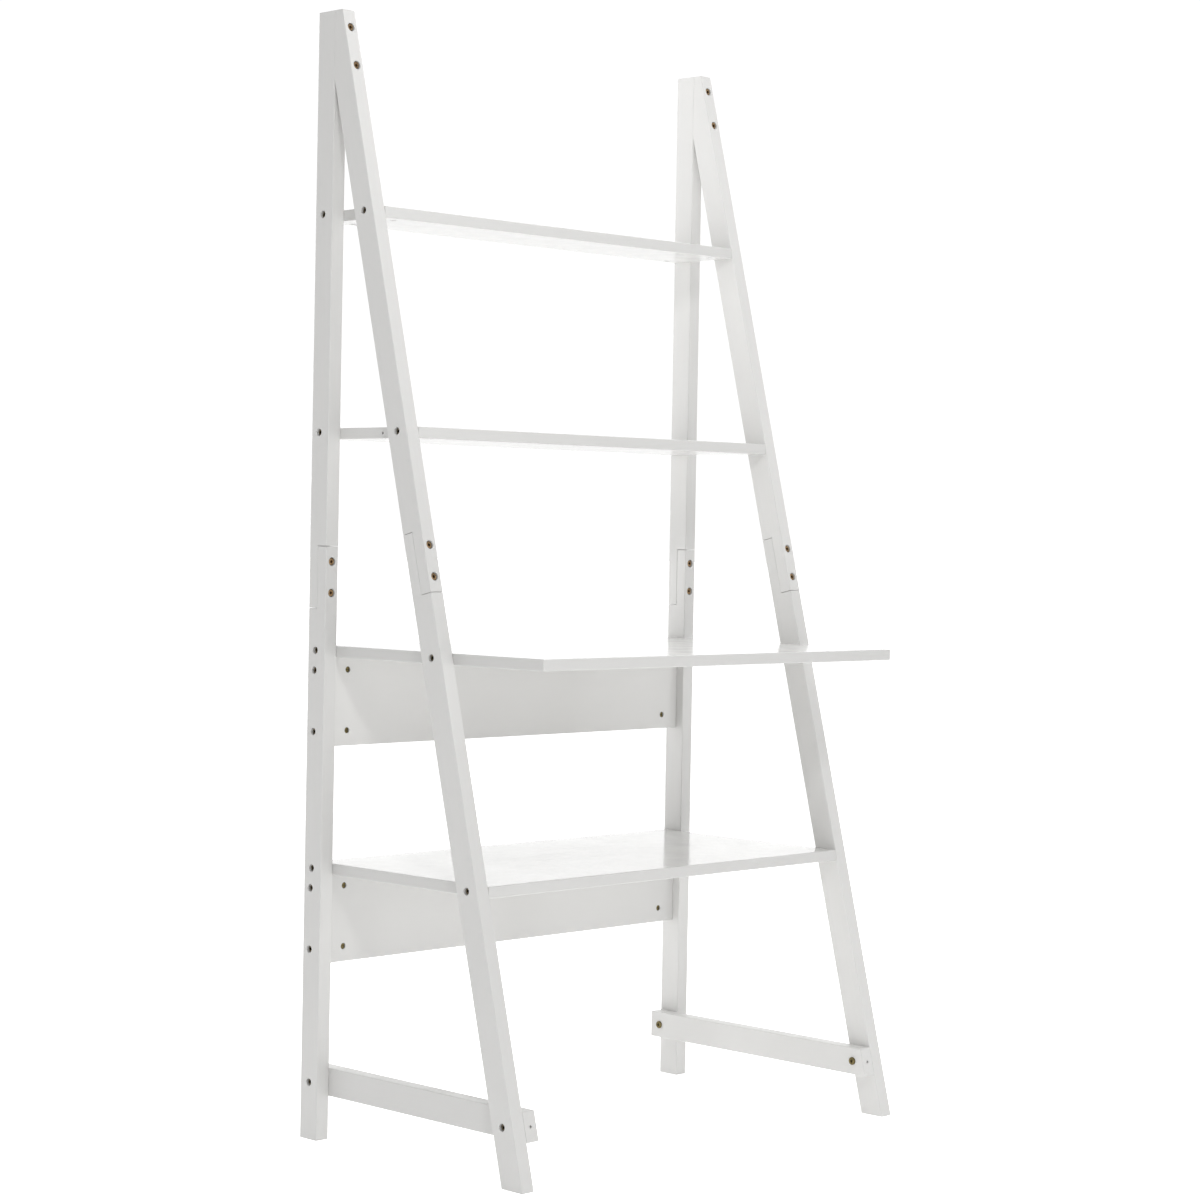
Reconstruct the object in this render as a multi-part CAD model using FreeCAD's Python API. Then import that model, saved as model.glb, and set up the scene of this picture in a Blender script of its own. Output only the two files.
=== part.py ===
import FreeCAD, Part
import math
import os

# Ladder desk: two A-shaped side frames joined by three shelves and a desk top, in millimetres.
# +X is to the right, -Y is the front, +Z is up. The origin is on the floor, at the centre of the footprint.
# "Depth" means distance forward of the rear posts' back faces.

# Overall size
HEIGHT = 1800.0
WIDTH = 864.0
FOOT_DEPTH = 516.0  # to the toes of the front posts, and to the front edge of the desk
HEAD_DEPTH = 58.0  # to the front of the front posts at the very top

# Timber
POST_THICK = 25.0
REAR_POST_DEPTH = 41.0
FRONT_POST_DEPTH = 44.0  # square to the slope
POST_EDGE_RADIUS = 1.5
BOARD_THICK = 18.0
BOARD_EDGE_RADIUS = 1.2
LOWER_SHELF_CENTRE = 431.5
BOARD_PITCH = 348.0  # between the centres of one board and the next
APRON_HEIGHT = 144.0
APRON_CENTRE_DEPTH = 16.0
STRETCHER_HEIGHT = 45.0
STRETCHER_CENTRE = 91.0

# Half-lap joints that split every post in two
LAP_LENGTH = 100.0
LAP_GAP = 0.8  # between a tongue's end and the shoulder that it faces
LAP_GROOVE = 0.7  # eased edge along the sides of a tongue
REAR_LAP_CENTRE = 898.0  # up the rear post
FRONT_LAP_CENTRE = 959.5  # along the front post's slope

# Bolts, all M6 with a hexagon socket
BOLT_DIAMETER = 6.0
CLEARANCE_DIAMETER = 6.6
SOCKET_ACROSS_FLATS = 5.0
SOCKET_DEPTH = 3.0
HEAD_CHAMFER = 0.8
TIP_ALLOWANCE = 2.0  # empty hole past a bolt's tip

# Bolts through the outer faces of the side frames
SIDE_HEAD_DIAMETER = 10.4
SIDE_HEAD_HEIGHT = 4.5
SIDE_COUNTERBORE_DIAMETER = 12.0
SIDE_COUNTERBORE_DEPTH = 8.0
REAR_BOLT_DEPTH = 18.0
BOARD_BOLT_RISE = 1.5  # above the middle of the board
APRON_BOLT_DROP = 21.5  # first apron bolt, below the board above it
APRON_BOLT_SPACING = 98.0

# Bolts through the front faces of the posts
FACE_HEAD_DIAMETER = 12.0
FACE_HEAD_HEIGHT = 4.5
FACE_COUNTERBORE_DIAMETER = 13.6
FACE_COUNTERBORE_DEPTH = 6.5
HEAD_BOLT_DROPS = (28.0, 90.0)  # the two bolts of the joint at the top, below the top
LAP_BOLT_SPACING = 50.0

# Nuts
BARREL_DIAMETER = 10.0
BARREL_LENGTH = 14.0
BARREL_INSET = 38.0  # from the board's end
BARREL_SLOT_WIDTH = 1.6
BARREL_SLOT_DEPTH = 1.2
INSERT_DIAMETER = 10.0
INSERT_LENGTH = 13.0
SLEEVE_DIAMETER = 8.6
SLEEVE_LENGTH = 18.0
SLEEVE_BORE_LENGTH = 15.0
SLEEVE_FLANGE_DIAMETER = 13.0
SLEEVE_FLANGE_HEIGHT = 2.2
SLEEVE_SOCKET_DEPTH = 1.8
FIT = 0.1  # radial clearance of a nut in its hole

# Small blind holes left by the makers
PILOT_DIAMETER = 4.5
PILOT_LENGTH = 12.0
SHELF_PILOT_DEPTH = 144.0

# Worked out from the above
MARGIN = 20.0  # how far a cutting tool overshoots the wood
BACK = FOOT_DEPTH / 2
SLOPE = (FOOT_DEPTH - HEAD_DEPTH) / HEIGHT
LEAN = math.atan(SLOPE)
FRONT_SECTION = FRONT_POST_DEPTH / math.cos(LEAN)  # level cut across a front post
INNER = WIDTH / 2 - POST_THICK
SIDES = {"left": -1, "right": 1}
BOARDS = ("lower_shelf", "desk_top", "second_shelf", "top_shelf")
BOARD_CENTRES = {name: LOWER_SHELF_CENTRE + i * BOARD_PITCH for i, name in enumerate(BOARDS)}
APRONS = {"lower_apron": "lower_shelf", "desk_apron": "desk_top"}
REARWARD = FreeCAD.Vector(0, 1, 0)
FORWARD = FreeCAD.Vector(0, -1, 0)
DOWN = FreeCAD.Vector(0, 0, -1)
INTO_FRONT_POST = FreeCAD.Vector(0, math.cos(LEAN), -math.sin(LEAN))


def place_y(depth):
    return BACK - depth


def front_depth(height):
    """Depth of a front post's front face at this height."""
    return HEAD_DEPTH + (HEIGHT - height) * SLOPE


def front_bolt_depth(height):
    """Depth of the middle of a front post at this height."""
    return front_depth(height) - FRONT_SECTION / 2


def block(x_range, y_range, z_range):
    low = FreeCAD.Vector(x_range[0], y_range[0], z_range[0])
    size = FreeCAD.Vector(x_range[1], y_range[1], z_range[1]) - low
    return Part.makeBox(size.x, size.y, size.z, low)


def rod(start, direction, diameter, length):
    return Part.makeCylinder(diameter / 2, length, start, direction)


def aim(shape, point, direction):
    """Move a shape built at the origin along +Z to a point, turned to face a direction."""
    turn = FreeCAD.Rotation(FreeCAD.Vector(0, 0, 1), direction)
    shape.Placement = FreeCAD.Placement(point, turn)
    return shape


def single(shape):
    """The one solid in a boolean's result, with its split faces joined."""
    solids = shape.removeSplitter().Solids
    if len(solids) != 1:
        raise ValueError("expected one solid, found %d" % len(solids))
    return solids[0]


# ---- Posts

def post_bar(depth, length):
    """A straight post on end, front face at y = 0, with its four long edges rounded."""
    bar = block((-POST_THICK / 2, POST_THICK / 2), (0, depth), (0, length))
    long_edges = [edge for edge in bar.Edges if abs(edge.Length - length) < 1e-6]
    return bar.makeFillet(POST_EDGE_RADIUS, long_edges)


def seam_grooves(middle, low, high):
    """Thin V grooves down both sides of a lap, where its two tongues meet."""
    grooves = []
    for edge in (-POST_THICK / 2, POST_THICK / 2):
        side = LAP_GROOVE * math.sqrt(2)
        groove = Part.makeBox(side, side, high - low, FreeCAD.Vector(-side / 2, -side / 2, 0))
        turn = FreeCAD.Rotation(FreeCAD.Vector(0, 0, 1), 45)
        groove.Placement = FreeCAD.Placement(FreeCAD.Vector(edge, middle, low), turn)
        grooves.append(groove)
    return grooves


def lap_halves(bar, depth, centre, lower_tongue_in_front):
    """Split an upright bar at a half-lap, and return its upper and its lower part."""
    middle = depth / 2
    low = centre - LAP_LENGTH / 2
    high = centre + LAP_LENGTH / 2
    top = bar.BoundBox.ZMax + MARGIN
    across = (-POST_THICK, POST_THICK)
    whole = (-MARGIN, depth + MARGIN)
    front = (-MARGIN, middle)
    rear = (middle, depth + MARGIN)
    lower_side, upper_side = (front, rear) if lower_tongue_in_front else (rear, front)
    lower_space = block(across, whole, (-MARGIN, low))
    lower_space = lower_space.fuse(block(across, lower_side, (low, high - LAP_GAP)))
    upper_space = block(across, whole, (high, top))
    upper_space = upper_space.fuse(block(across, upper_side, (low + LAP_GAP, high)))
    grooves = seam_grooves(middle, low, high)
    upper = single(bar.common(upper_space).cut(grooves))
    lower = single(bar.common(lower_space).cut(grooves))
    return upper, lower


def rear_post(side):
    bar = post_bar(REAR_POST_DEPTH, HEIGHT)
    halves = lap_halves(bar, REAR_POST_DEPTH, REAR_LAP_CENTRE, lower_tongue_in_front=True)
    shift = FreeCAD.Vector(side * (WIDTH - POST_THICK) / 2, place_y(REAR_POST_DEPTH), 0)
    return [half.translated(shift) for half in halves]


def front_post(side):
    """A leaning post, sawn level at both ends and upright where it bears on the rear post."""
    length = HEIGHT / math.cos(LEAN)
    bar = post_bar(FRONT_POST_DEPTH, length + 2 * MARGIN)
    bar = bar.translated(FreeCAD.Vector(0, 0, -MARGIN))
    halves = lap_halves(bar, FRONT_POST_DEPTH, FRONT_LAP_CENTRE, lower_tongue_in_front=False)
    lean = FreeCAD.Rotation(FreeCAD.Vector(1, 0, 0), -math.degrees(LEAN))
    toe = FreeCAD.Vector(side * (WIDTH - POST_THICK) / 2, place_y(FOOT_DEPTH), 0)
    room = block((-WIDTH, WIDTH), (-WIDTH, place_y(REAR_POST_DEPTH)), (0, HEIGHT))
    leaning = []
    for half in halves:
        half.Placement = FreeCAD.Placement(toe, lean)
        leaning.append(single(half.common(room)))
    return leaning


# ---- Boards, aprons and stretchers

def board(height, depth):
    """A shelf or desk top between the side frames, with all its edges eased."""
    z_range = (height - BOARD_THICK / 2, height + BOARD_THICK / 2)
    plank = block((-INNER, INNER), (place_y(depth), BACK), z_range)
    return plank.makeFillet(BOARD_EDGE_RADIUS, plank.Edges)


def apron(under):
    """An upright board on edge, straight under the board at this height."""
    top = under - BOARD_THICK / 2
    middle = place_y(APRON_CENTRE_DEPTH)
    y_range = (middle - BOARD_THICK / 2, middle + BOARD_THICK / 2)
    plank = block((-INNER, INNER), y_range, (top - APRON_HEIGHT, top))
    return plank.makeFillet(BOARD_EDGE_RADIUS, plank.Edges)


def stretcher(side):
    """A rail on the inner faces of one side frame, its front end sawn along the front post."""
    low = STRETCHER_CENTRE - STRETCHER_HEIGHT / 2
    high = STRETCHER_CENTRE + STRETCHER_HEIGHT / 2
    start = min(side * INNER, side * (INNER - POST_THICK))
    outline = (
        (BACK, low),
        (place_y(front_depth(low)), low),
        (place_y(front_depth(high)), high),
        (BACK, high),
    )
    corners = [FreeCAD.Vector(start, y, z) for y, z in outline]
    face = Part.Face(Part.makePolygon(corners + corners[:1]))
    rail = face.extrude(FreeCAD.Vector(POST_THICK, 0, 0))
    return rail.makeFillet(BOARD_EDGE_RADIUS, rail.Edges)


# ---- Fasteners, each built at the origin along +Z

def hexagon(across_flats, height):
    radius = across_flats / math.sqrt(3)
    corners = []
    for step in range(7):
        angle = math.radians(60 * step)
        corners.append(FreeCAD.Vector(radius * math.cos(angle), radius * math.sin(angle), 0))
    return Part.Face(Part.makePolygon(corners)).extrude(FreeCAD.Vector(0, 0, height))


def bolt(head_diameter, head_height, length):
    """The underside of the head is at z = 0 and the shank points up."""
    head = rod(FreeCAD.Vector(0, 0, -head_height), FreeCAD.Vector(0, 0, 1), head_diameter, head_height)
    rim = [edge for edge in head.Edges if abs(edge.CenterOfMass.z + head_height) < 1e-6]
    head = head.makeChamfer(HEAD_CHAMFER, rim)
    socket = hexagon(SOCKET_ACROSS_FLATS, SOCKET_DEPTH)
    socket.translate(FreeCAD.Vector(0, 0, -head_height))
    shank = rod(FreeCAD.Vector(0, 0, 0), FreeCAD.Vector(0, 0, 1), BOLT_DIAMETER, length)
    point = [edge for edge in shank.Edges if abs(edge.CenterOfMass.z - length) < 1e-6]
    shank = shank.makeChamfer(HEAD_CHAMFER, point)
    return single(head.cut(socket).fuse(shank))


def barrel_nut():
    """A cross dowel on its centre, its slotted end up, drilled across for a bolt along X."""
    low = FreeCAD.Vector(0, 0, -BARREL_LENGTH / 2)
    barrel = rod(low, FreeCAD.Vector(0, 0, 1), BARREL_DIAMETER - 2 * FIT, BARREL_LENGTH)
    across = FreeCAD.Vector(-BARREL_DIAMETER, 0, 0)
    hole = rod(across, FreeCAD.Vector(1, 0, 0), BOLT_DIAMETER, 2 * BARREL_DIAMETER)
    slot = block(
        (-BARREL_DIAMETER, BARREL_DIAMETER),
        (-BARREL_SLOT_WIDTH / 2, BARREL_SLOT_WIDTH / 2),
        (BARREL_LENGTH / 2 - BARREL_SLOT_DEPTH, BARREL_LENGTH),
    )
    return single(barrel.cut([hole, slot]))


def insert_nut():
    """A threaded bush whose mouth is at z = 0 and whose far end is up."""
    up = FreeCAD.Vector(0, 0, 1)
    bush = rod(FreeCAD.Vector(0, 0, 0), up, INSERT_DIAMETER, INSERT_LENGTH)
    return single(bush.cut(rod(FreeCAD.Vector(0, 0, 0), up, BOLT_DIAMETER, INSERT_LENGTH)))


def sleeve_nut():
    """A flanged sleeve: the flange's underside is at z = 0, the sleeve is up and its flange down."""
    up = FreeCAD.Vector(0, 0, 1)
    outer = FreeCAD.Vector(0, 0, -SLEEVE_FLANGE_HEIGHT)
    flange = rod(outer, up, SLEEVE_FLANGE_DIAMETER, SLEEVE_FLANGE_HEIGHT)
    rim = [edge for edge in flange.Edges if abs(edge.CenterOfMass.z + SLEEVE_FLANGE_HEIGHT) < 1e-6]
    flange = flange.makeFillet(SLEEVE_FLANGE_HEIGHT / 2, rim)
    sleeve = rod(FreeCAD.Vector(0, 0, 0), up, SLEEVE_DIAMETER, SLEEVE_LENGTH)
    socket = hexagon(SOCKET_ACROSS_FLATS, SLEEVE_SOCKET_DEPTH)
    socket.translate(outer)
    bore_start = FreeCAD.Vector(0, 0, SLEEVE_LENGTH - SLEEVE_BORE_LENGTH)
    bore = rod(bore_start, up, BOLT_DIAMETER, SLEEVE_BORE_LENGTH)
    return single(flange.fuse(sleeve).cut([socket, bore]))


# ---- Bolted joints: each drills its wood and adds its fasteners

wood = {}
hardware = {}


def drill(nodes, tools):
    for node in nodes:
        wood[node] = single(wood[node].cut(tools))


def add(node, solid):
    hardware.setdefault(node, []).append(solid)


def side_seat(side, depth, height):
    """Where the head of a bolt through a frame's outer face sits."""
    return FreeCAD.Vector(side * (WIDTH / 2 - SIDE_COUNTERBORE_DEPTH), place_y(depth), height)


def side_counterbore(seat, inward):
    length = SIDE_COUNTERBORE_DEPTH + MARGIN
    return rod(seat - inward * length, inward, SIDE_COUNTERBORE_DIAMETER, length)


def barrel_joint(side, depth, height, post, plank, mouth, cover, group):
    """A bolt through a post into a barrel nut let into the plank.

    mouth points out of the nut's hole, and cover is the distance from the nut's centre to the face
    it opens in.
    """
    inward = FreeCAD.Vector(-side, 0, 0)
    seat = side_seat(side, depth, height)
    to_nut = POST_THICK - SIDE_COUNTERBORE_DEPTH + BARREL_INSET
    length = to_nut + BARREL_DIAMETER / 2 + TIP_ALLOWANCE
    centre = seat + inward * to_nut
    shank_hole = rod(seat, inward, CLEARANCE_DIAMETER, length + TIP_ALLOWANCE)
    pocket_floor = centre - mouth * (BARREL_LENGTH / 2 + FIT)
    pocket_length = BARREL_LENGTH / 2 + FIT + cover
    drill([post], [shank_hole, side_counterbore(seat, inward)])
    drill([plank], [shank_hole, rod(pocket_floor, mouth, BARREL_DIAMETER, pocket_length)])
    add(group + "_bolts", aim(bolt(SIDE_HEAD_DIAMETER, SIDE_HEAD_HEIGHT, length), seat, inward))
    add(group + "_barrel_nuts", aim(barrel_nut(), centre, mouth))


def insert_joint(face_point, direction, cover, front_node, rear_node, group):
    """A bolt through the front piece, which is cover thick here, into an insert in the rear piece."""
    seat = face_point + direction * FACE_COUNTERBORE_DEPTH
    mating = face_point + direction * cover
    length = cover - FACE_COUNTERBORE_DEPTH + INSERT_LENGTH - TIP_ALLOWANCE
    reach = FACE_COUNTERBORE_DEPTH + MARGIN
    counterbore = rod(seat - direction * reach, direction, FACE_COUNTERBORE_DIAMETER, reach)
    shank_hole = rod(seat, direction, CLEARANCE_DIAMETER, cover - FACE_COUNTERBORE_DEPTH + TIP_ALLOWANCE)
    drill([front_node], [counterbore, shank_hole])
    drill([rear_node], [rod(mating, direction, INSERT_DIAMETER, INSERT_LENGTH)])
    add(group + "_bolts", aim(bolt(FACE_HEAD_DIAMETER, FACE_HEAD_HEIGHT, length), seat, direction))
    add(group + "_inserts", aim(insert_nut(), mating, direction))


def sleeve_joint(side, depth, post, rail, group):
    """A bolt through a post and the stretcher behind it, into a sleeve nut on the inner face."""
    inward = FreeCAD.Vector(-side, 0, 0)
    outward = FreeCAD.Vector(side, 0, 0)
    seat = side_seat(side, depth, STRETCHER_CENTRE)
    inner_face = seat + inward * (2 * POST_THICK - SIDE_COUNTERBORE_DEPTH)
    length = 2 * POST_THICK - SIDE_COUNTERBORE_DEPTH - (SLEEVE_LENGTH - SLEEVE_BORE_LENGTH) - TIP_ALLOWANCE
    shank_hole = rod(seat, inward, CLEARANCE_DIAMETER, 2 * POST_THICK - SIDE_COUNTERBORE_DEPTH)
    sleeve_hole = rod(inner_face, outward, SLEEVE_DIAMETER + 2 * FIT, SLEEVE_LENGTH + FIT)
    drill([post], [shank_hole, side_counterbore(seat, inward)])
    drill([rail], [shank_hole, sleeve_hole])
    add(group + "_bolts", aim(bolt(SIDE_HEAD_DIAMETER, SIDE_HEAD_HEIGHT, length), seat, inward))
    add(group + "_sleeve_nuts", aim(sleeve_nut(), inner_face, outward))


def half_of(post_name, height):
    """The upper or lower piece of a post; no board is near the laps."""
    return post_name + ("_upper_post" if height > REAR_LAP_CENTRE else "_lower_post")


def make_wood():
    for name, side in SIDES.items():
        wood[name + "_rear_upper_post"], wood[name + "_rear_lower_post"] = rear_post(side)
        wood[name + "_front_upper_post"], wood[name + "_front_lower_post"] = front_post(side)
        wood[name + "_stretcher"] = stretcher(side)
    for name, height in BOARD_CENTRES.items():
        wood[name] = board(height, FOOT_DEPTH if name == "desk_top" else front_depth(height))
    for name, above in APRONS.items():
        wood[name] = apron(BOARD_CENTRES[above])


def join_boards(name, side):
    cover = BOARD_THICK / 2 + BOARD_BOLT_RISE
    for plank, centre in BOARD_CENTRES.items():
        height = centre + BOARD_BOLT_RISE
        rear = half_of(name + "_rear", height)
        front = half_of(name + "_front", height)
        barrel_joint(side, REAR_BOLT_DEPTH, height, rear, plank, DOWN, cover, plank)
        barrel_joint(side, front_bolt_depth(height), height, front, plank, DOWN, cover, plank)


def join_aprons(name, side):
    post = name + "_rear_lower_post"
    for plank, above in APRONS.items():
        first = BOARD_CENTRES[above] - BOARD_THICK / 2 - APRON_BOLT_DROP
        for height in (first, first - APRON_BOLT_SPACING):
            barrel_joint(
                side, APRON_CENTRE_DEPTH, height, post, plank, FORWARD, BOARD_THICK / 2, plank
            )


def join_frame(name, side):
    """The two half-laps and the joint at the top of one side frame, and its stretcher."""
    x = side * (WIDTH - POST_THICK) / 2
    rear_upper = name + "_rear_upper_post"
    rear_lower = name + "_rear_lower_post"
    front_upper = name + "_front_upper_post"
    front_lower = name + "_front_lower_post"
    for drop in HEAD_BOLT_DROPS:
        depth = front_depth(HEIGHT - drop)
        face_point = FreeCAD.Vector(x, place_y(depth), HEIGHT - drop)
        cover = depth - REAR_POST_DEPTH
        insert_joint(face_point, REARWARD, cover, front_upper, rear_upper, name + "_top_joint")
    for offset in (-LAP_BOLT_SPACING / 2, LAP_BOLT_SPACING / 2):
        face_point = FreeCAD.Vector(x, place_y(REAR_POST_DEPTH), REAR_LAP_CENTRE + offset)
        insert_joint(face_point, REARWARD, REAR_POST_DEPTH / 2, rear_lower, rear_upper, name + "_rear_lap")
        along = FRONT_LAP_CENTRE + offset
        face_point = FreeCAD.Vector(
            x, place_y(FOOT_DEPTH) + along * math.sin(LEAN), along * math.cos(LEAN)
        )
        insert_joint(
            face_point, INTO_FRONT_POST, FRONT_POST_DEPTH / 2, front_upper, front_lower, name + "_front_lap"
        )
    rail = name + "_stretcher"
    sleeve_joint(side, REAR_POST_DEPTH / 2, rear_lower, rail, rail)
    sleeve_joint(side, front_bolt_depth(STRETCHER_CENTRE), front_lower, rail, rail)


def drill_pilots(name, side):
    """The blind holes in the ends of the second shelf and in the stretchers' front ends."""
    end = FreeCAD.Vector(side * INNER, place_y(SHELF_PILOT_DEPTH), BOARD_CENTRES["second_shelf"])
    inward = FreeCAD.Vector(-side, 0, 0)
    drill(["second_shelf"], [rod(end, inward, PILOT_DIAMETER, PILOT_LENGTH)])
    x = side * (INNER - POST_THICK / 2)
    tip = FreeCAD.Vector(x, place_y(front_depth(STRETCHER_CENTRE)), STRETCHER_CENTRE)
    start = tip - INTO_FRONT_POST * MARGIN
    drill([name + "_stretcher"], [rod(start, INTO_FRONT_POST, PILOT_DIAMETER, PILOT_LENGTH + MARGIN)])


def main():
    make_wood()
    for name, side in SIDES.items():
        join_boards(name, side)
        join_aprons(name, side)
        join_frame(name, side)
        drill_pilots(name, side)
    os.makedirs("parts", exist_ok=True)
    for node, solid in wood.items():
        solid.exportStep("parts/%s.step" % node)
    for node, solids in hardware.items():
        Part.makeCompound(solids).exportStep("parts/%s.step" % node)


main()
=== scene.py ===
import math

import bpy
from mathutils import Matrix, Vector


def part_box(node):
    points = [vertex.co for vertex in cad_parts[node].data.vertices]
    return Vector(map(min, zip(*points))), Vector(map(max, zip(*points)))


# Ladder desk: satin white paint on every wooden piece, plated fasteners, and a plain white studio.
# Metres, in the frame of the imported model: +X right, -Y front, +Z up.

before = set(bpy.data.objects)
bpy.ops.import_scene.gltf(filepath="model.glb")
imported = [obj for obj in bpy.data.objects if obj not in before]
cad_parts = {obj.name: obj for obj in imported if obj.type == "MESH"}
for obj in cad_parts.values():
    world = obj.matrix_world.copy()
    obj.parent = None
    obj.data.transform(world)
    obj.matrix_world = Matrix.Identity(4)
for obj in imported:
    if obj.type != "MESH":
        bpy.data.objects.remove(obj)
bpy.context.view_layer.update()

# ---- Paint

PAINT_WHITE = (0.707, 0.703, 0.690)
SIDE_TINT_AND_PAINTED_LIGHT = (("left", 0.97), ("right", 1.05))  # shade of each side frame: partly the paint's own tone, partly painted light that lightens the right frame and darkens the left
# Shade of the whole board, and of its upright edges. These tints, like those of the side frames, partly make
# up for light that the lamps don't give, so they say little about differences in the paint itself.
BOARD_TINTS = {
    "top_shelf": (1.0, 0.985),
    "second_shelf": (1.0, 0.985),
    "desk_top": (1.0, 0.90),
    "lower_shelf": (1.01, 0.91),
    "desk_apron": (1.085, 1.0),
    "lower_apron": (0.95, 1.0),
}
POST_GRAIN = 1.0  # how strongly the grain shows
BOARD_GRAIN = 0.35
POST_ROUGHNESS = 0.34
BOARD_ROUGHNESS = 0.16
ROUGHNESS_SPREAD = (0.85, 1.2)
PAINT_IOR = 1.5

GRAIN_STRETCH = (1.0, 26.0, 26.0)  # the grain is this many times finer across than along
GRAIN = {"scale": 9.0, "detail": 6.0, "roughness": 0.62, "distortion": 0.35}
PORES = {"scale": 34.0, "detail": 2.0}
ROLLER_MARKS = {"scale": 620.0, "detail": 2.0}
CLOUD = {"scale": 3.2, "detail": 4.0}
SMUDGE = {"scale": 17.0, "detail": 3.0, "roughness": 0.6}
NOISE_SPREAD = (0.3, 0.7)  # where most of a noise's values lie

CLOUD_SHADES = (0.985, 1.012)
STREAK_SPREAD = (0.38, 0.62)
STREAK_SHADE = 0.86
STREAK_SHARE = 0.05
UPRIGHT_TURN = (0.6, 0.3)  # the height of a face's normal, from where edge_painted_shade starts to where it is full
PRIMER = (0.56, 0.54, 0.50)  # shows faintly where the paint is thin on an edge
PRIMER_SHARE = 0.22
WORN_WIDTH = 0.0022
WORN_SPREAD = (0.42, 0.66)
WORN_AMOUNT = (0.12, 0.85)
WORN_ROUGHNESS = 0.16  # added to the paint's own

EASED_EDGE = 0.0009  # radius of the rounding that the shading gives each sharp edge
BEVEL_SAMPLES = 6
EDGE_TURN = (0.995, 0.80)  # cosine between the flat and the rounded normal, from a face to an edge
GRAIN_BUMP = (0.35, 0.0003)  # strength, depth
PORE_BUMP = (0.12, 0.0002)
ROLLER_BUMP = (0.16, 0.00006)
WOOD_SEED_STEP = (0.37, 0.61, 0.83)  # how far each seed moves the patterns

# ---- Metal

ZINC = (0.40, 0.27, 0.15)
# the face bolts' zinc painted darker: a painted shade for the side bolts, sunk in their counterbores
SIDE_BOLT_ZINC_SHADED = (0.21, 0.17, 0.11)
OLD_BRASS = (0.21, 0.17, 0.08)
METAL_ROUGHNESS = (0.28, 0.5)
STAIN = {"scale": 260.0, "detail": 4.0, "roughness": 0.6}
STAIN_SPREAD = (0.35, 0.68)
STAIN_SHADES = (0.62, 1.25)
GRIT = {"scale": 2400.0, "detail": 2.0}
GRIT_BUMP = (0.25, 0.00002)
SOCKET_SHADE_REACH = 0.004  # how far into a socket or slot the painted shade reaches: the plating is darkened where little light gets in
SOCKET_SHADE_SPREAD = (0.25, 0.85)
SOCKET_SHADE_DARKNESS = 0.12
OCCLUSION_SAMPLES = 8
# painted highlight: the plating's edges lightened as if they caught the light
HIGHLIGHT_EDGE_WIDTH = 0.0005
HIGHLIGHT_EDGE_GAIN = 2.0
HIGHLIGHT_EDGE_SHARE = 0.45
METAL_SEED_STEP = (0.29, 0.53, 0.71)

# ---- Node helpers

MIX_FACTOR = 0  # the sockets that a Mix node uses when it mixes colours
MIX_COLOURS = (6, 7)
MIX_RESULT = 2


def add_node(tree, kind, **settings):
    made = tree.nodes.new("ShaderNode" + kind)
    for key, value in settings.items():
        setattr(made, key, value)
    return made


def plug(tree, value, socket):
    """Link a node's output into a socket, or give the socket a plain value."""
    if isinstance(value, bpy.types.NodeSocket):
        tree.links.new(value, socket)
    else:
        socket.default_value = value


def add_maths(tree, operation, *values):
    made = add_node(tree, "Math", operation=operation)
    for value, socket in zip(values, made.inputs):
        plug(tree, value, socket)
    return made.outputs[0]


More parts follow.
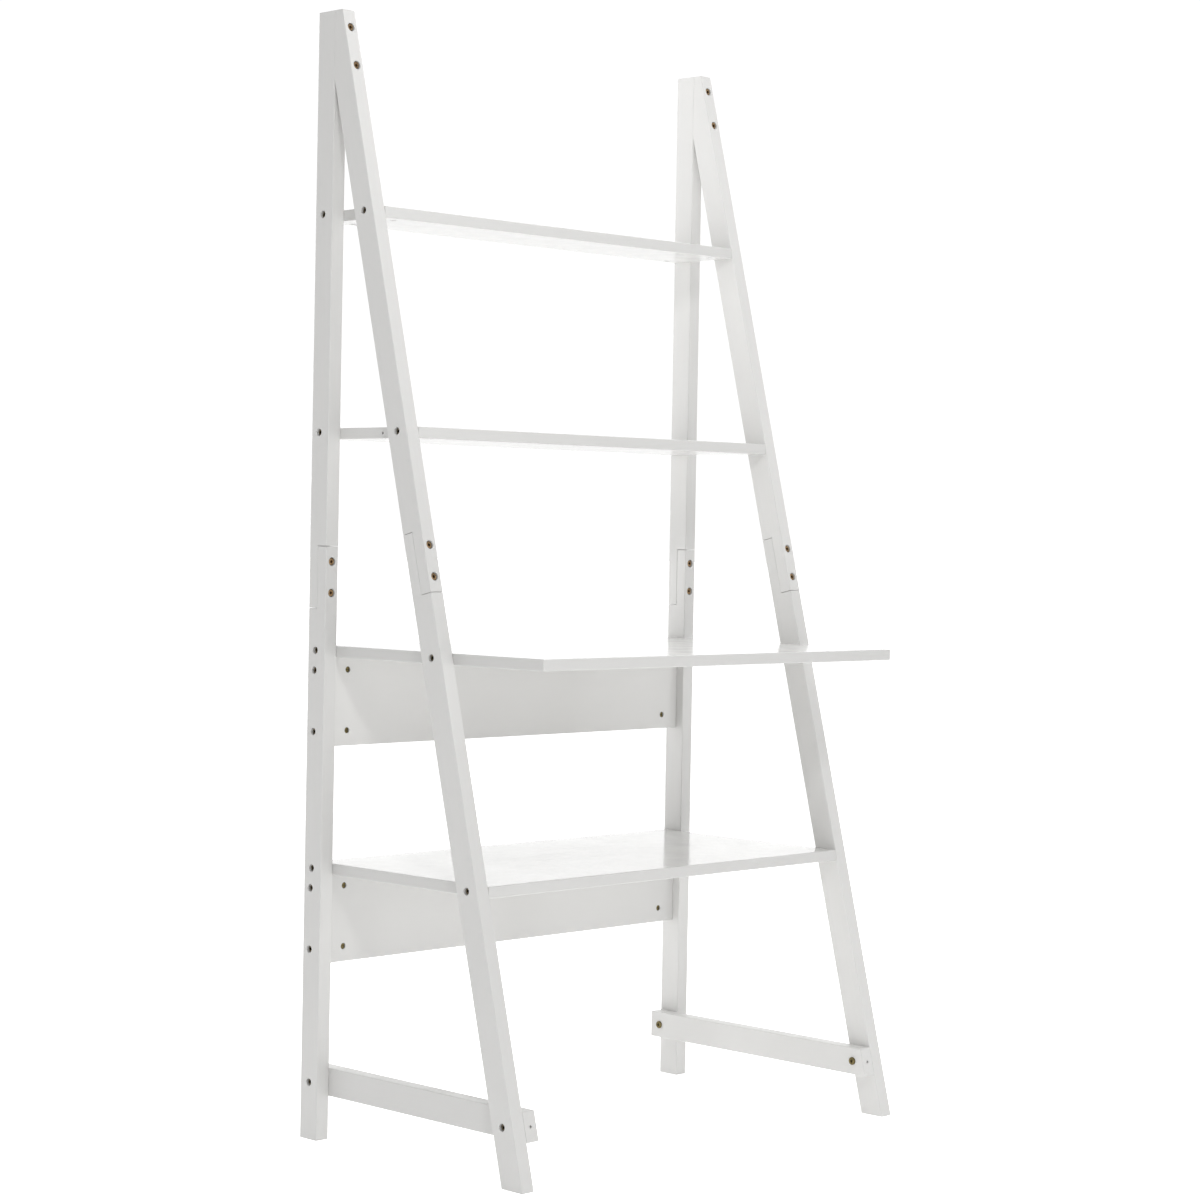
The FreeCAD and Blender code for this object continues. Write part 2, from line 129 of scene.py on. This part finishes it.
class Graph:
    """One new material's nodes, with short ways to add and link them."""

    def __init__(self, name):
        self.material = bpy.data.materials.new(name)
        self.material.use_nodes = True
        self.tree = self.material.node_tree
        self.shader = self.tree.nodes["Principled BSDF"]

    def node(self, kind, **settings):
        return add_node(self.tree, kind, **settings)

    def maths(self, operation, *values):
        return add_maths(self.tree, operation, *values)

    def feed(self, node, **values):
        """Set or link a node's inputs by name; a name's underscores stand for spaces."""
        for key, value in values.items():
            plug(self.tree, value, node.inputs[key.replace("_", " ")])
        return node

    def coordinates(self, turn=(0, 0, 0), offset=(0, 0, 0), scale=(1, 1, 1)):
        """Object coordinates, turned and moved, and then stretched."""
        source = self.node("TexCoord").outputs["Object"]
        turned = self.feed(self.node("Mapping"), Vector=source, Rotation=turn, Location=offset)
        return self.feed(self.node("Mapping"), Vector=turned.outputs[0], Scale=scale).outputs[0]

    def noise(self, vector, scale, detail, roughness=0.5, distortion=0.0):
        made = self.feed(self.node("TexNoise"), Vector=vector, Scale=scale, Detail=detail)
        return self.feed(made, Roughness=roughness, Distortion=distortion).outputs["Fac"]

    def ramp(self, value, span, result=(0.0, 1.0)):
        """Carry a value smoothly from one range to another, and hold it at the ends."""
        made = self.feed(self.node("MapRange", interpolation_type="SMOOTHSTEP"), Value=value)
        self.feed(made, From_Min=span[0], From_Max=span[1])
        return self.feed(made, To_Min=result[0], To_Max=result[1]).outputs["Result"]

    def mix(self, factor, first, second):
        """Mix two colours, each a node's output or red, green and blue."""
        made = self.node("Mix", data_type="RGBA")
        plug(self.tree, factor, made.inputs[MIX_FACTOR])
        for number, colour in zip(MIX_COLOURS, (first, second)):
            whole = (*colour, 1.0) if isinstance(colour, tuple) else colour
            plug(self.tree, whole, made.inputs[number])
        return made.outputs[MIX_RESULT]

    def bump(self, height, strength, depth, below=None):
        made = self.feed(self.node("Bump"), Height=height, Strength=strength, Distance=depth)
        if below is not None:
            self.feed(made, Normal=below)
        return made.outputs[0]

    def rounded_normal(self, radius):
        return self.feed(self.node("Bevel", samples=BEVEL_SAMPLES), Radius=radius).outputs[0]

    def flat_normal(self):
        return self.node("NewGeometry").outputs["True Normal"]

    def levelness(self):
        """The height of the face's own normal: 1 on a level face and 0 on an upright one."""
        parts = self.feed(self.node("SeparateXYZ"), Vector=self.flat_normal())
        return self.maths("ABSOLUTE", parts.outputs["Z"])

    def edge_mask(self, radius):
        """1 on a sharp or eased edge and 0 on a flat face."""
        made = self.node("VectorMath", operation="DOT_PRODUCT")
        plug(self.tree, self.rounded_normal(radius), made.inputs[0])
        plug(self.tree, self.flat_normal(), made.inputs[1])
        return self.ramp(made.outputs["Value"], EDGE_TURN)


def scaled(numbers, factor):
    """Every number of a colour, a place or a range, times a factor."""
    return tuple(number * factor for number in numbers)


# ---- Materials


def painted_wood(name, colour, grain_turn, grain_strength, roughness, seed, edge_painted_shade=1.0):
    """Satin paint over wood: grain showing faintly through, a rolled surface, thin paint on the edges.

    grain_turn turns the grain's direction onto X. The last argument multiplies the colour of the upright
    faces: partly the paint's own tone, partly a painted shade.
    """
    g = Graph(name)
    offset = scaled(WOOD_SEED_STEP, seed)
    plain = g.coordinates(grain_turn, offset)
    along = g.coordinates(grain_turn, offset, GRAIN_STRETCH)

    grain = g.noise(along, **GRAIN)
    pores = g.noise(along, **PORES)
    roller = g.noise(plain, **ROLLER_MARKS)
    cloud = g.noise(plain, **CLOUD)
    smudge = g.noise(plain, **SMUDGE)

    edge = g.edge_mask(WORN_WIDTH)
    worn = g.maths("MULTIPLY", edge, g.ramp(smudge, WORN_SPREAD, WORN_AMOUNT))

    darkest, lightest = CLOUD_SHADES
    tone = g.mix(g.ramp(cloud, NOISE_SPREAD), scaled(colour, darkest), scaled(colour, lightest))
    streaks = g.ramp(grain, STREAK_SPREAD, (0.0, STREAK_SHARE * grain_strength))
    toned = g.mix(streaks, tone, scaled(colour, STREAK_SHADE))
    if edge_painted_shade != 1.0:
        # painted shade: the upright faces darkened, partly standing in for light that the lamps don't give
        toned = g.mix(g.ramp(g.levelness(), UPRIGHT_TURN), toned, scaled(colour, edge_painted_shade))
    finished = g.mix(g.maths("MULTIPLY", worn, PRIMER_SHARE), toned, PRIMER)

    patchy = g.ramp(smudge, NOISE_SPREAD, scaled(ROUGHNESS_SPREAD, roughness))
    rough = g.maths("ADD", patchy, g.maths("MULTIPLY", worn, WORN_ROUGHNESS))

    normal = g.rounded_normal(EASED_EDGE)
    for pattern, (strength, depth) in ((grain, GRAIN_BUMP), (pores, PORE_BUMP)):
        normal = g.bump(pattern, strength * grain_strength, depth, below=normal)
    normal = g.bump(roller, *ROLLER_BUMP, below=normal)

    g.feed(g.shader, Base_Color=finished, Roughness=rough, Normal=normal, IOR=PAINT_IOR)
    return g.material


def plated_metal(name, colour, seed):
    """Dull plated steel, stained, with a painted shade in its socket and slot and a painted highlight on its
    edges.
    """
    g = Graph(name)
    place = g.coordinates(offset=scaled(METAL_SEED_STEP, seed))
    stain = g.noise(place, **STAIN)
    grit = g.noise(place, **GRIT)
    occlusion = g.node("AmbientOcclusion", samples=OCCLUSION_SAMPLES)
    open_sky = g.feed(occlusion, Distance=SOCKET_SHADE_REACH).outputs["AO"]
    edge = g.edge_mask(HIGHLIGHT_EDGE_WIDTH)

    darkest, lightest = STAIN_SHADES
    tone = g.mix(g.ramp(stain, STAIN_SPREAD), scaled(colour, darkest), scaled(colour, lightest))
    # painted shade: the plating darkened where the occlusion finds a socket, slot or recess
    socket_shaded = g.mix(g.ramp(open_sky, SOCKET_SHADE_SPREAD), scaled(colour, SOCKET_SHADE_DARKNESS), tone)
    # painted highlight on the plating's edges
    painted_highlight = g.maths("MULTIPLY", edge, HIGHLIGHT_EDGE_SHARE)
    finished = g.mix(painted_highlight, socket_shaded, scaled(colour, HIGHLIGHT_EDGE_GAIN))

    rough = g.ramp(stain, NOISE_SPREAD, METAL_ROUGHNESS)
    normal = g.bump(grit, *GRIT_BUMP)
    g.feed(g.shader, Base_Color=finished, Roughness=rough, Normal=normal, Metallic=1.0)
    return g.material


# ---- Dressing the pieces

QUARTER = math.pi / 2
GRAIN_ALONG_X = (0, 0, 0)
GRAIN_ALONG_Y = (0, 0, -QUARTER)
GRAIN_ALONG_Z = (0, QUARTER, 0)


def dress(node, material):
    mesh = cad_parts[node].data
    mesh.materials.clear()
    mesh.materials.append(material)


def lean_of_front_posts():
    """About how far the sloping posts lean back from upright, in radians."""
    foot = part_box("left_front_lower_post")[0]
    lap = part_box("left_front_upper_post")[0]
    return math.atan2(lap.y - foot.y, lap.z - foot.z)


def dress_wood():
    """Every piece has a pattern of its own. The white differs from side to side, and from board to board,
    partly as painted light and shade.
    """
    along_slope = (lean_of_front_posts(), QUARTER, 0)
    turns = {
        "rear_upper_post": GRAIN_ALONG_Z,
        "rear_lower_post": GRAIN_ALONG_Z,
        "front_upper_post": along_slope,
        "front_lower_post": along_slope,
        "stretcher": GRAIN_ALONG_Y,
    }
    seed = 1
    for side, tint_and_painted_light in SIDE_TINT_AND_PAINTED_LIGHT:
        colour = scaled(PAINT_WHITE, tint_and_painted_light)
        for piece, turn in turns.items():
            node = side + "_" + piece
            dress(node, painted_wood("paint_" + node, colour, turn, POST_GRAIN, POST_ROUGHNESS, seed))
            seed += 1
    for node, (tint_and_painted_light, edge_painted_shade) in BOARD_TINTS.items():
        colour = scaled(PAINT_WHITE, tint_and_painted_light)
        look = (GRAIN_ALONG_X, BOARD_GRAIN, BOARD_ROUGHNESS, seed, edge_painted_shade)
        dress(node, painted_wood("paint_" + node, colour, *look))
        seed += 1


def dress_metal():
    face_bolts = plated_metal("zinc_face_bolts", ZINC, 1)
    # the side bolts get the same zinc with a painted shade
    side_bolts = plated_metal("zinc_side_bolts", SIDE_BOLT_ZINC_SHADED, 2)
    nuts = plated_metal("brass_nuts", OLD_BRASS, 3)
    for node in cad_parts:
        if node.endswith(("joint_bolts", "lap_bolts")):
            dress(node, face_bolts)
        elif node.endswith("_bolts"):
            dress(node, side_bolts)
        elif node.endswith(("_nuts", "_inserts")):
            dress(node, nuts)


# ---- Camera

CAMERA_PLACE = (-3.3105, -3.2411, 0.9839)
CAMERA_YAW = 45.32  # degrees right of straight ahead
CAMERA_PITCH = -0.24  # degrees up
CAMERA_ROLL = 1.03
CAMERA_LENS = 84.44  # millimetres, as is the sensor
SENSOR_WIDTH = 36.0
CAMERA_SHIFT_Y = -0.05
CAMERA_REACH = 200.0  # how far the camera sees


def add_camera():
    data = bpy.data.cameras.new("camera")
    data.lens = CAMERA_LENS
    data.sensor_width = SENSOR_WIDTH
    data.shift_y = CAMERA_SHIFT_Y
    data.clip_end = CAMERA_REACH
    camera = bpy.data.objects.new("camera", data)
    camera.location = CAMERA_PLACE
    camera.rotation_euler = (
        math.radians(90 + CAMERA_PITCH),
        math.radians(-CAMERA_ROLL),
        math.radians(-CAMERA_YAW),
    )
    bpy.context.scene.collection.objects.link(camera)
    bpy.context.scene.camera = camera


# ---- Studio

WHITE = (1, 1, 1, 1)
FLOOR_HALF = 60.0  # half of the floor's side
FLOOR_WHITE = (0.96, 0.96, 0.96, 1.0)
FLOOR_ROUGHNESS = 0.9
FLOOR_GLOW = 0.43  # the lit floor's own light
FLOOR_SEEN = 0.35  # added for the camera's own rays only, to look as white as the sky
SKY_SEEN = 1.05  # the sky's strength for the camera's own rays
# The sky as a light: axis, side of it, strength on the paint, and strength in gloss. The gloss is chosen
# apart from the rest, so that surfaces shine without flattening the shading.
SKY_LIGHTS = (
    ("Z", 1, 1.00, 1.00),
    ("X", -1, 0.05, 0.05),
    ("X", 1, 0.55, 1.50),
    ("Y", 1, 0.40, 1.25),
)
SOFT_BOXES = (  # place, aim, width and length, watts
    ((-1.6, -1.75, 2.6), (0, 0, 0.7), (0.4, 0.4), 17.0),
    ((2.2, 0.4, 3.2), (0, 0, 0.9), (1.4, 1.4), 12.0),
    ((-0.3, -3.2, 0.7), (0, 0, 0.7), (2.4, 0.9), 13.0),
    ((-0.2, -0.3, 3.2), (-0.2, -0.3, 0), (0.6, 1.4), 12.0),
    ((-0.38, 1.5, 1.25), (0.35, 0, 1.1), (0.4, 1.7), 9.0),
)


def add_floor():
    mesh = bpy.data.meshes.new("floor")
    corners = [(x, y, 0) for x, y in ((-1, -1), (1, -1), (1, 1), (-1, 1))]
    mesh.from_pydata([scaled(corner, FLOOR_HALF) for corner in corners], [], [(0, 1, 2, 3)])
    floor = bpy.data.objects.new("floor", mesh)
    bpy.context.scene.collection.objects.link(floor)
    g = Graph("white_floor")
    g.feed(g.shader, Base_Color=FLOOR_WHITE, Roughness=FLOOR_ROUGHNESS, Specular_IOR_Level=0.0)
    to_camera = g.node("LightPath").outputs["Is Camera Ray"]
    glow = g.maths("ADD", FLOOR_GLOW, g.maths("MULTIPLY", to_camera, FLOOR_SEEN))
    g.feed(g.shader, Emission_Color=WHITE, Emission_Strength=glow)
    mesh.materials.append(g.material)


def add_sky():
    """A white studio all round, with its own strength from each side, and plain white to the camera."""
    world = bpy.data.worlds.new("studio")
    bpy.context.scene.world = world
    world.use_nodes = True
    tree = world.node_tree
    tree.nodes.clear()

    direction = add_node(tree, "SeparateXYZ")
    plug(tree, add_node(tree, "TexCoord").outputs["Generated"], direction.inputs[0])
    rays = add_node(tree, "LightPath").outputs
    total = 0.0
    for axis, sign, on_paint, in_gloss in SKY_LIGHTS:
        toward = add_maths(tree, "MULTIPLY", direction.outputs[axis], sign)
        toward = add_maths(tree, "MAXIMUM", toward, 0.0)
        squared = add_maths(tree, "MULTIPLY", toward, toward)
        strength = add_maths(tree, "MULTIPLY_ADD", rays["Is Glossy Ray"], in_gloss - on_paint, on_paint)
        total = add_maths(tree, "MULTIPLY_ADD", squared, strength, total)

    choose = add_node(tree, "MixShader")
    plug(tree, rays["Is Camera Ray"], choose.inputs[0])
    for socket, strength in ((choose.inputs[1], total), (choose.inputs[2], SKY_SEEN)):
        background = add_node(tree, "Background")
        plug(tree, WHITE, background.inputs["Color"])
        plug(tree, strength, background.inputs["Strength"])
        plug(tree, background.outputs[0], socket)
    plug(tree, choose.outputs[0], add_node(tree, "OutputWorld").inputs["Surface"])


def add_soft_boxes():
    for number, (place, aim, size, watts) in enumerate(SOFT_BOXES):
        data = bpy.data.lights.new("soft_box_%d" % number, "AREA")
        data.shape = "RECTANGLE"
        data.size, data.size_y = size
        data.energy = watts
        box = bpy.data.objects.new(data.name, data)
        box.location = place
        box.rotation_euler = (Vector(aim) - Vector(place)).to_track_quat("-Z", "Y").to_euler()
        box.visible_camera = False
        bpy.context.scene.collection.objects.link(box)


def set_picture():
    """Plain colours, so that white paint in white light comes out white."""
    view = bpy.context.scene.view_settings
    view.view_transform = "Standard"
    view.look = "None"
    view.exposure = 0.0
    view.gamma = 1.0


add_camera()
dress_wood()
dress_metal()
add_floor()
add_sky()
add_soft_boxes()
set_picture()
